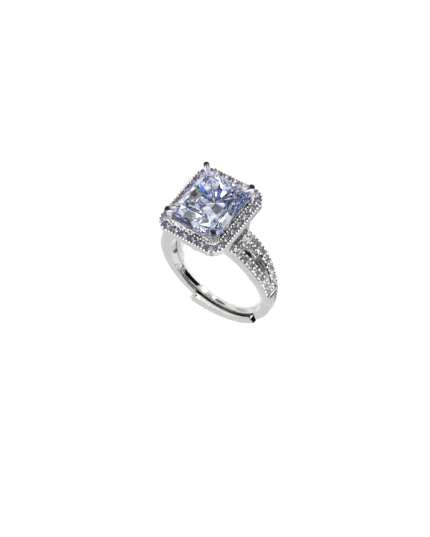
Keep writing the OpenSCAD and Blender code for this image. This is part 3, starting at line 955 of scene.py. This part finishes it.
def halo_parts(c, n):
    """Where polygons with centres c and normals n are a seat of the halo, the inside of its far row,
    the wall under the main stone, or the gallery's end walls."""
    x, y, z = np.abs(c[:, 0]), c[:, 1], c[:, 2]
    from_stone = np.linalg.norm(c[:, None, :2] - halo_spots[None], axis=2).min(1)
    top = (z > HALO_TOP - SEAT_DEPTH) & (z < GIRDLE_Z)
    seat = top & (z < HALO_TOP - 0.01) & (from_stone < HALO_STONE_D / 2 + SEAT_MARGIN)
    far_row = top & (y > FAR_ROW_Y) & (y < HALO_Y - 0.3) & (x < 3.9)
    wall = (z > HALO_TOP + 0.02) & (z < GIRDLE_Z) & (np.abs(n[:, 2]) < 0.2)
    wall &= (x < WALL_X) & (np.abs(y) < WALL_Y) & ((x < WALL_RUN_X) | (np.abs(y) < WALL_RUN_Y))
    end_wall = (z > END_WALL_LOW_Z) & (z < HALO_TOP - HALO_T) & (n[:, 0] * np.sign(c[:, 0]) > 0.9)
    end_wall &= (x > END_WALL_X[0]) & (x < END_WALL_X[1])
    return seat, far_row, wall, end_wall


def shank_parts(c, n):
    """Where polygons are a seat of the shoulders, the shoulders' outer side, an opening between the
    strands, or the tongue's near side. depth is measured inward from the outer surface."""
    x, y, z = np.abs(c[:, 0]), c[:, 1], c[:, 2]
    angle, reach = np.arctan2(x, z), np.hypot(x, z)
    depth = surface_r(angle) - reach
    along = (angle[:, None] - shoulder_angles[None]) * SHANK_R
    from_edge = (np.hypot(along, y[:, None] - shoulder_y[None]) - shoulder_d / 2).min(1)
    seat = (x > SHOULDER_X) & (depth < 0.62) & (depth > 0.015) & (from_edge < SEAT_MARGIN)
    outer = (x > SHOULDER_X) & (z > SHOULDER_LOW_Z) & (depth < 1.3) & (depth > -0.1)
    outer &= (y > near_edge_y(z, 1) + 0.02) & (y < far_edge_y(z) - 0.02)
    faces_out = (c[:, 0] * n[:, 0] + z * n[:, 2]) / reach
    opening = outer & (faces_out < 0.7) & (depth > 0.02)
    tongue = (z < TONGUE_TOP_Z) & (reach < SLEEVE_IN_R - 0.05)
    tongue &= (n[:, 1] < -0.7) & (np.abs(y - TONGUE_NEAR_Y) < 0.03)
    return seat, outer, opening, tongue


# %% A finish for every face
centres, normals = upright(rows_of(body.polygons, "center")), rows_of(body.polygons, "normal") @ LEAN
halo_seat, far_row, wall, end_wall = halo_parts(centres, normals)
side_seat, outer, opening, tongue = shank_parts(centres, normals)
choices = [(far_row, grain_metal), (wall, painted_glints), (halo_seat | side_seat, shaded_recess), (end_wall, shaded),
           (opening | tongue, gap), (outer, satin)]
finish_of = np.select([where for where, _ in choices], [FINISHES.index(finish) for _, finish in choices], 0)
body.polygons.foreach_set("material_index", finish_of.astype(np.int32))
ring_metal = in_scene("ring_metal", body)
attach(ring_metal, "root")
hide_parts("ring_mount")
print("metal faces of each finish:", dict(zip([f.name for f in FINISHES], np.bincount(finish_of).tolist())))

# %% [markdown]
# ## Crowned faces
#
# No polished ring is truly flat: the buffing wheel leaves each face a little fuller in its middle.
# That is what draws long bright and dark streaks along a shank, because the reflection sweeps over
# the room as the surface turns. Each face gets a thin strip with a rise of h (1 - u squared) from
# edge to edge, carried along the shank. Its back is sunk in the metal, so the strip is closed.

# %% One crowned strip
CROWN_CELLS, STRIP_SINK, STRIP_STEP = 13, 0.06, 1.5


def strip(name, degrees, edges, place, rise, finish=metal):
    """A crowned strip: c = low + (high - low) (u + 1) / 2 across, lifted by rise (1 - u^2), along the angles.
    The last two points of each ring close its back, under the metal."""
    a = np.radians(np.arange(*degrees, STRIP_STEP))[:, None]
    u = np.concatenate([np.linspace(-1, 1, CROWN_CELLS), [1, -1]])[None]
    lift = rise * (1 - u ** 2) - np.where(np.arange(u.size) >= CROWN_CELLS, STRIP_SINK, 0)[None]
    low, high = edges(a)
    across = low + (high - low) * (u + 1) / 2
    points = np.stack(np.broadcast_arrays(*place(a + 0 * u, across, lift + 0 * a)), -1)
    piece = mesh_object(name, laid(points.reshape(-1, 3)), closed_faces(len(a), u.size, 1), finish, True)
    outward_faces(piece.data)
    piece.data.set_sharp_from_angle(angle=math.radians(30))
    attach(piece, "root")
    print(name, len(piece.data.polygons), "faces")


# %% Where a strip lies
EDGE, OPEN_END_Z = 0.05, -6.0
SLEEVE_NEAR_Y, SLEEVE_FAR_Y, SLEEVE_START_X, SLEEVE_SPAN, SLEEVE_TAPER = -1.45, -0.60, -5.2, 11.8, 0.6


def on_bore(radius):
    """Across is Y, and the lift goes toward the finger."""
    return lambda a, y, lift: ((radius - lift) * np.sin(a), y, -(radius - lift) * np.cos(a))


def on_near_face(side):
    """Across is the radius, and the lift goes out of the near face."""
    return lambda a, r, lift: (r * np.sin(a), near_edge_y(-r * np.cos(a), side) - lift, -r * np.cos(a))


def on_back(a, y, lift):
    """Across is Y, and the lift goes out of the shank's outer surface."""
    r = surface_r(np.pi - a) + lift
    return r * np.sin(a), y, -r * np.cos(a)


def shank_edges(radius, side):
    """From the shank's near edge to its far one, which is straight near the open ends."""
    def edges(a):
        z = -radius * np.cos(a)
        return near_edge_y(z, side) + EDGE, np.where(z < OPEN_END_Z, FAR_LOW_Y, far_edge_y(z)) - EDGE
    return edges


def straight_edges(low, high):
    return lambda a: (low + 0 * a, high + 0 * a)


def sleeve_edges(a):
    """The sleeve's near face comes closer to the middle plane toward its end on the right."""
    along = (SLEEVE_IN_R * np.sin(a) - SLEEVE_START_X) / SLEEVE_SPAN
    return SLEEVE_NEAR_Y + SLEEVE_TAPER * along + EDGE, SLEEVE_FAR_Y + 0 * a


def radial_edges(a):
    return FINGER_R + EDGE, surface_r(np.pi - a) - EDGE


# %% Strips of the shank and sleeve
strip("left_bore_crown", (-150, -64.5), shank_edges(FINGER_R, -1), on_bore(FINGER_R), 0.13)
strip("right_bore_crown", (53, 150), shank_edges(FINGER_R, 1), on_bore(FINGER_R), 0.13)
strip("tongue_crown", (-57.5, 50), straight_edges(-0.44, 0.43), on_bore(FINGER_R), 0.06)
strip("left_lip_crown", (-62, -29), straight_edges(-0.93, -0.63), on_bore(FINGER_R), 0.05)
strip("sleeve_lip_crown", (-24, 40.5), sleeve_edges, on_bore(SLEEVE_IN_R), 0.05, brushed)
strip("left_near_crown", (-148, -31), radial_edges, on_near_face(-1), 0.06)
strip("right_near_crown", (52, 148), radial_edges, on_near_face(1), 0.06)
strip("left_back_crown", (-101, -30), shank_edges(SHANK_R, -1), on_back, 0.10)
strip("right_back_crown", (50, 101), shank_edges(SHANK_R, 1), on_back, 0.10)

# %% [markdown]
# ## Claws
#
# Four claws hold the main stone. Each rises from the halo's corner, swells into a rounded head
# beside the stone, and is bent in over the crown. Three short wands make one: a line with a half
# ball at each end and its own radius at both. Their rounded tops get a painted reflection of the dark
# side of the room, so they read almost black between bright sides, and the fingers over the stone
# get a painted bluish reflection of it; a colour attribute carries these painted reflections.

# %% Claw finish
claw_metal, tree, shader = new_material("claw_polish")
# The colour attribute holds the claws' painted reflections.
tint = add(tree, "ShaderNodeVertexColor", layer_name="claw_painted_reflection")
wear = map_range(tree, noise(tree, object_place(tree), 1500.0, 2.0), 0.3, 0.7, 0.7, 1.0)
set_sockets(shader, Metallic=0.8, Roughness=0.08,
            Base_Color=mix_colour(tree, 1.0, tint.outputs["Color"], wear, "MULTIPLY"))
print("claws' finish:", claw_metal.name)

# %% One wand
CLAW_FOOT, CLAW_HEAD = np.array([3.68, 4.56, 14.65]), np.array([3.90, 4.70, 17.85])
CLAW_TIP = CLAW_HEAD - [0.60, 0.60, 0.27]
CLAW_RISES, CLAW_SIDES = np.radians([-87, -70, -50, -25, 0]), 24


def wand(start, end, start_r, end_r):
    """Rings around a line with a half ball at each end: centre + axis * r sin(v) + around * r cos(v)."""
    axis = (end - start) / np.linalg.norm(end - start)
    side = np.cross(axis, [1, -1, 0.0])
    side /= np.linalg.norm(side)
    rise = np.concatenate([CLAW_RISES, -CLAW_RISES[::-1]])
    centre = np.repeat([start, end], len(CLAW_RISES), axis=0)
    radius = np.repeat([start_r, end_r], len(CLAW_RISES))
    turn = round_steps(CLAW_SIDES)[:, None]
    around = np.cos(turn) * side + np.sin(turn) * np.cross(axis, side)
    middle = centre + axis * (radius * np.sin(rise))[:, None]
    return middle[:, None] + around * (radius * np.cos(rise))[:, None, None]


# %% Claws' painted reflections
def ramp(value, zero_at, one_at):
    """0 to 1 while value goes from zero_at to one_at."""
    return np.clip((value - zero_at) / (one_at - zero_at), 0, 1)


def claw_painted_reflections(where, facing):
    """Each point's colour from its place and normal: shade * dark + (1 - shade) * bright.
    The shade is a painted reflection of the dark side of the room on the upper, outer part: darkest at
    its rim, then on the level top, then on the slope. The fingers over the stone get a painted bluish
    reflection of it."""
    outward = np.sign(where[:, :2]) / math.sqrt(2)
    tilt_up = 0.8 * facing[:, 2] + 0.6 * (facing[:, :2] * outward).sum(1)
    sideways = np.abs(facing[:, 0] * outward[:, 1] - facing[:, 1] * outward[:, 0])
    inward = (CLAW_HEAD[:2] - np.abs(where[:, :2])).sum(1) / math.sqrt(2)
    shade = (ramp(tilt_up, -0.05, 0.15) * ramp(sideways, 0.88, 0.76)
             * ramp(where[:, 2], 16.1, 16.35) * ramp(inward, 0.48, 0.32))[:, None]
    rim = np.maximum(ramp(sideways, 0.35, 0.70), ramp(where[:, 2], 16.75, 16.45))[:, None]
    level = ramp(facing[:, 2], 0.2, 0.6)[:, None]
    inside = (1 - level) * [0.13, 0.12, 0.20] + level * [0.035, 0.035, 0.05]
    # Painted reflection: near black where the rounded tops would mirror the dark side of the room.
    dark = rim * [0.004, 0.004, 0.008] + (1 - rim) * inside
    # Painted reflection: a bluish tint on the fingers over the stone; elsewhere the metal's own colour.
    bright = np.where((inward > 0.4)[:, None], [0.88, 0.90, 1.0], [1.0, 0.99, 0.97])
    return shade * dark + (1 - shade) * bright


# %% Claws
flips = np.array([(1, 1, 1), (-1, 1, 1), (1, -1, 1), (-1, -1, 1)])
stem = CLAW_HEAD - CLAW_FOOT
one_claw = np.stack([
    wand(CLAW_FOOT, CLAW_FOOT + 0.34 * stem, 0.345, 0.335),
    wand(CLAW_FOOT + 0.32 * stem, CLAW_HEAD, 0.33, 0.50),
    wand(CLAW_HEAD, CLAW_TIP, 0.52, 0.43),
])
claws = (one_claw[None] * flips[:, None, None, None]).reshape(-1, 3)
claw_faces = closed_faces(one_claw.shape[1], CLAW_SIDES, len(one_claw) * len(flips))
claw_piece = mesh_object("claws", laid(claws), claw_faces, claw_metal, True)
outward_faces(claw_piece.data)
tints = claw_painted_reflections(claws, rows_of(claw_piece.data.vertex_normals, "vector") @ LEAN)
keep_colours(claw_piece, "claw_painted_reflection", "POINT", tints)
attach(claw_piece, "root")
print("claws:", len(claw_piece.data.polygons), "faces")

# %% [markdown]
# ## Grains
#
# Small stones are held by grains: tiny beads raised from the metal around each seat and pushed over
# its edge. From a distance they make the bright dotted line along both sides of every row. A grain
# is a ball with a few rings, and all the balls of a row are one array. The halo has three grains
# for each stone on both sides of its line, and the shoulders have one at each corner of a seat.

# %% A row of grains
BALL_RINGS, BALL_SIDES = 5, 8

ball_turn = round_steps(BALL_SIDES)
ball_rise = np.linspace(-1.25, 1.35, BALL_RINGS)[:, None]
BALL = np.stack([np.cos(ball_rise) * np.cos(ball_turn), np.cos(ball_rise) * np.sin(ball_turn),
                 np.repeat(np.sin(ball_rise), BALL_SIDES, 1)], -1)


def grains(name, places, frames, radii):
    """Balls at places: frame . (ball * radius) + place."""
    points = np.einsum("nij,abj->nabi", frames, BALL) * radii[:, None, None, None] + places[:, None, None]
    faces = closed_faces(BALL_RINGS, BALL_SIDES, len(places))
    piece = mesh_object(name, laid(points.reshape(-1, 3)), faces, grain_metal, True)
    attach(piece, "root")
    print(name, len(places), "grains")


# %% Grains of the halo
GRAIN_R, GRAIN_LIFT, LINE_OFFSETS = 0.145, 0.02, (0.645, -0.60)

spots = []
for halo_row in HALO_SIDES:
    on_line, outward = around_halo(np.array([-1, 0, 1]) / 3, *halo_row)
    spots += [on_line + outward * offset for offset in LINE_OFFSETS]
places, frames = level_seats(np.vstack(spots), HALO_TOP + GRAIN_LIFT)
grains("halo_grains", places, frames, np.full(len(places), GRAIN_R))

# %% Grains of the shoulders
GRAIN_TURN, GRAIN_OUT = 0.03, 0.47

seats = len(shoulder_y)
grain_d = np.repeat(shoulder_d, 4)
grain_angles = np.repeat(shoulder_angles, 4) + np.tile([-1, 1, -1, 1], seats) * grain_d * GRAIN_TURN
grain_y = np.repeat(shoulder_y, 4) + np.tile([-1, -1, 1, 1], seats) * grain_d * GRAIN_OUT
for side, name in ((-1, "left_shoulder_grains"), (1, "right_shoulder_grains")):
    frames = shoulder_frames(side, grain_angles)
    grains(name, shoulder_places(frames, grain_angles, grain_y, GRAIN_LIFT), frames, grain_d * GRAIN_R)

# %% [markdown]
# ## Look of the picture
#
# Product pictures on white keep their whites, so the plain standard transform is used. Light passes
# in and out of the stones many times, so the renderer may follow it for more bounces than usual.

# %% Picture settings
scene = bpy.context.scene
scene.view_settings.view_transform = "Standard"
scene.cycles.max_bounces = 24
scene.cycles.glossy_bounces = 16
scene.cycles.transmission_bounces = 16
print("view transform:", scene.view_settings.view_transform)
